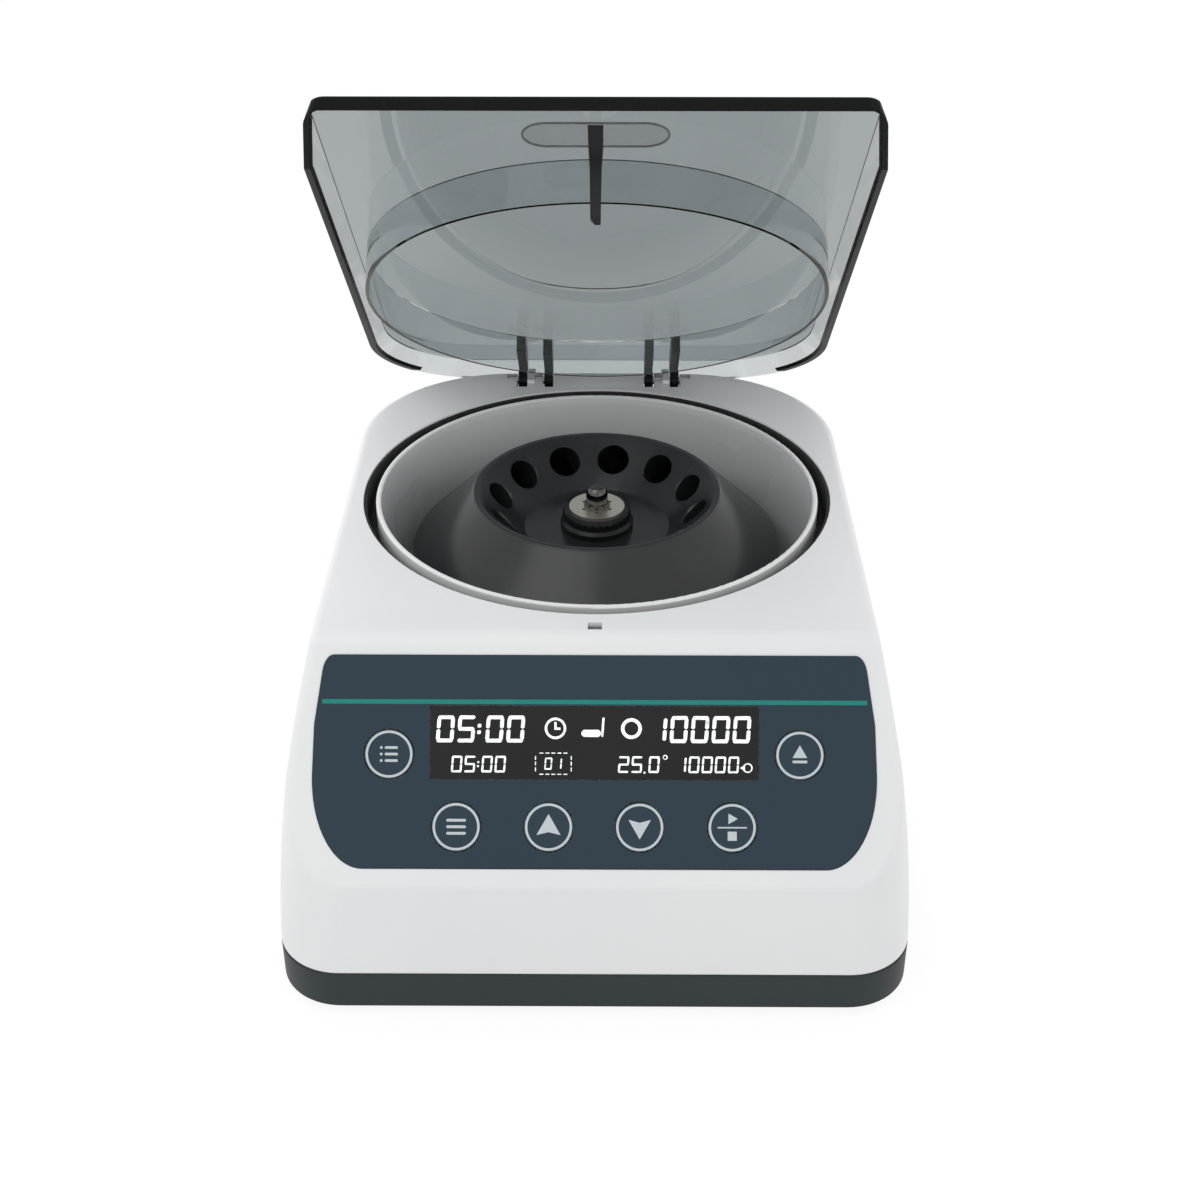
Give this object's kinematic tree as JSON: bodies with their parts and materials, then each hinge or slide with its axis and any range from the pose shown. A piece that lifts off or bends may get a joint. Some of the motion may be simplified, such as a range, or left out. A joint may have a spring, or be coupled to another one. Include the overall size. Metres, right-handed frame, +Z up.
{
  "type": "microtube centrifuge",
  "caption": "Bench microtube centrifuge with a smoked hinged lid, angle rotor in a round bowl, sloping key panel and display, rear mains inlet and switch.",
  "frame": {"origin": "on the bench plane under the feet, under the middle of the bounding box of the instrument as stored, with its lid open", "axes": "+Z up along the rotor axis, -Y to the front with the control panel, +X to the right seen from the front"},
  "size_m": [0.2034, 0.2508, 0.2667],
  "materials": {
    "white_abs": "moulded white, fine satin",
    "slate_abs": "moulded dark slate",
    "black_rubber": "soft black rubber",
    "zinc_screws": "zinc plated",
    "slate_film": "printed slate film, satin",
    "key_film": "printed slate film, satin",
    "tinted_lens": "dark tinted lens, glossy",
    "display_black": "black display",
    "green_board": "green solder mask",
    "grey_bowl": "smooth grey, satin",
    "zinc_sheet": "zinc plated sheet",
    "black_enamel": "black enamel",
    "cast_aluminium": "machined casting",
    "copper_winding": "varnished copper",
    "motor_steel": "stacked steel sheet",
    "ground_steel": "ground steel",
    "rotor_nylon": "dark filled nylon, satin",
    "knob_black": "moulded black, ribbed",
    "satin_steel": "satin stainless steel",
    "chrome_nut": "polished chrome",
    "smoked_acrylic": "clear smoke grey, polished",
    "black_strip": "black rim strip",
    "black_abs": "moulded black",
    "grey_abs": "moulded grey",
    "nickel_pins": "nickel plated",
    "rocker_black": "moulded black, glossy",
    "board_parts": "mixed black parts"
  },
  "bodies": {
    "case": {"base_pan": "slate_abs", "rubber_feet": "black_rubber", "upper_housing": "white_abs", "housing_screws": "zinc_screws", "control_overlay": "slate_film", "display_window": "tinted_lens", "display_module": "display_black", "control_board": "green_board", "key_switches": "black_abs", "board_screws": "zinc_screws", "bowl": "grey_bowl", "bowl_rim": "white_abs", "bowl_seal": "black_rubber", "bowl_screws": "zinc_screws", "motor_plate": "zinc_sheet", "plate_dampers": "black_rubber", "plate_screws": "zinc_screws", "motor_can": "black_enamel", "motor_cap": "cast_aluminium", "motor_stator": "copper_winding", "shaft_bearings": "ground_steel", "motor_screws": "zinc_screws", "shaft_boot": "black_rubber", "hinge_pins": "ground_steel", "latch_bezel": "grey_abs", "latch_solenoid": "black_enamel", "latch_bracket": "zinc_sheet", "latch_screws": "zinc_screws", "mains_inlet": "black_abs", "inlet_pins": "nickel_pins", "power_switch_frame": "black_abs", "power_board": "green_board", "power_board_parts": "board_parts", "driver_board": "green_board", "driver_board_parts": "board_parts", "circuit_screws": "zinc_screws"},
    "rotor_set": {"rotor": "rotor_nylon", "rotor_collar": "knob_black", "collar_disc": "satin_steel", "rotor_nut": "chrome_nut", "drive_hub": "cast_aluminium", "motor_shaft": "ground_steel", "motor_armature": "motor_steel"},
    "lid": {"lid_shell": "smoked_acrylic", "lid_collar": "smoked_acrylic", "lid_edge_trim": "black_strip", "press_pad": "smoked_acrylic", "latch_hook": "black_abs", "hinge_brackets": "black_abs"},
    "key_program": {"key_program": "key_film"},
    "key_open": {"key_open": "key_film"},
    "key_menu": {"key_menu": "key_film"},
    "key_up": {"key_up": "key_film"},
    "key_down": {"key_down": "key_film"},
    "key_start": {"key_start": "key_film"},
    "lock_bolt": {"latch_bolt": "ground_steel"},
    "rocker": {"power_rocker": "rocker_black"}
  },
  "joints": [
    {"name": "lid_hinge", "type": "hinge", "parent": "case", "child": "lid", "pos_m": [0, 0.11201, 0.1117], "axis": [1, 0, 0], "range_deg": [0, 44.1]},
    {"name": "rotor_spin", "type": "hinge", "parent": "case", "child": "rotor_set", "pos_m": [0, 0.01561, 0.1], "axis": [0, 0, 1], "continuous": true},
    {"name": "key_program_press", "type": "slide", "parent": "case", "child": "key_program", "axis": [0, 0.8221, -0.5693], "range_m": [0, 0.0006], "stiffness_N_per_m": 400},
    {"name": "key_open_press", "type": "slide", "parent": "case", "child": "key_open", "axis": [0, 0.8221, -0.5693], "range_m": [0, 0.0006], "stiffness_N_per_m": 400},
    {"name": "key_menu_press", "type": "slide", "parent": "case", "child": "key_menu", "axis": [0, 0.8221, -0.5693], "range_m": [0, 0.0006], "stiffness_N_per_m": 400},
    {"name": "key_up_press", "type": "slide", "parent": "case", "child": "key_up", "axis": [0, 0.8221, -0.5693], "range_m": [0, 0.0006], "stiffness_N_per_m": 400},
    {"name": "key_down_press", "type": "slide", "parent": "case", "child": "key_down", "axis": [0, 0.8221, -0.5693], "range_m": [0, 0.0006], "stiffness_N_per_m": 400},
    {"name": "key_start_press", "type": "slide", "parent": "case", "child": "key_start", "axis": [0, 0.8221, -0.5693], "range_m": [0, 0.0006], "stiffness_N_per_m": 400},
    {"name": "lock_slide", "type": "slide", "parent": "case", "child": "lock_bolt", "axis": [-1, 0, 0], "range_m": [0, 0.0044], "stiffness_N_per_m": 150},
    {"name": "rocker_tilt", "type": "hinge", "parent": "case", "child": "rocker", "pos_m": [-0.032, 0.11839, 0.03386], "axis": [0, -0.0715, 0.9974], "range_deg": [0, 20]}
  ]
}
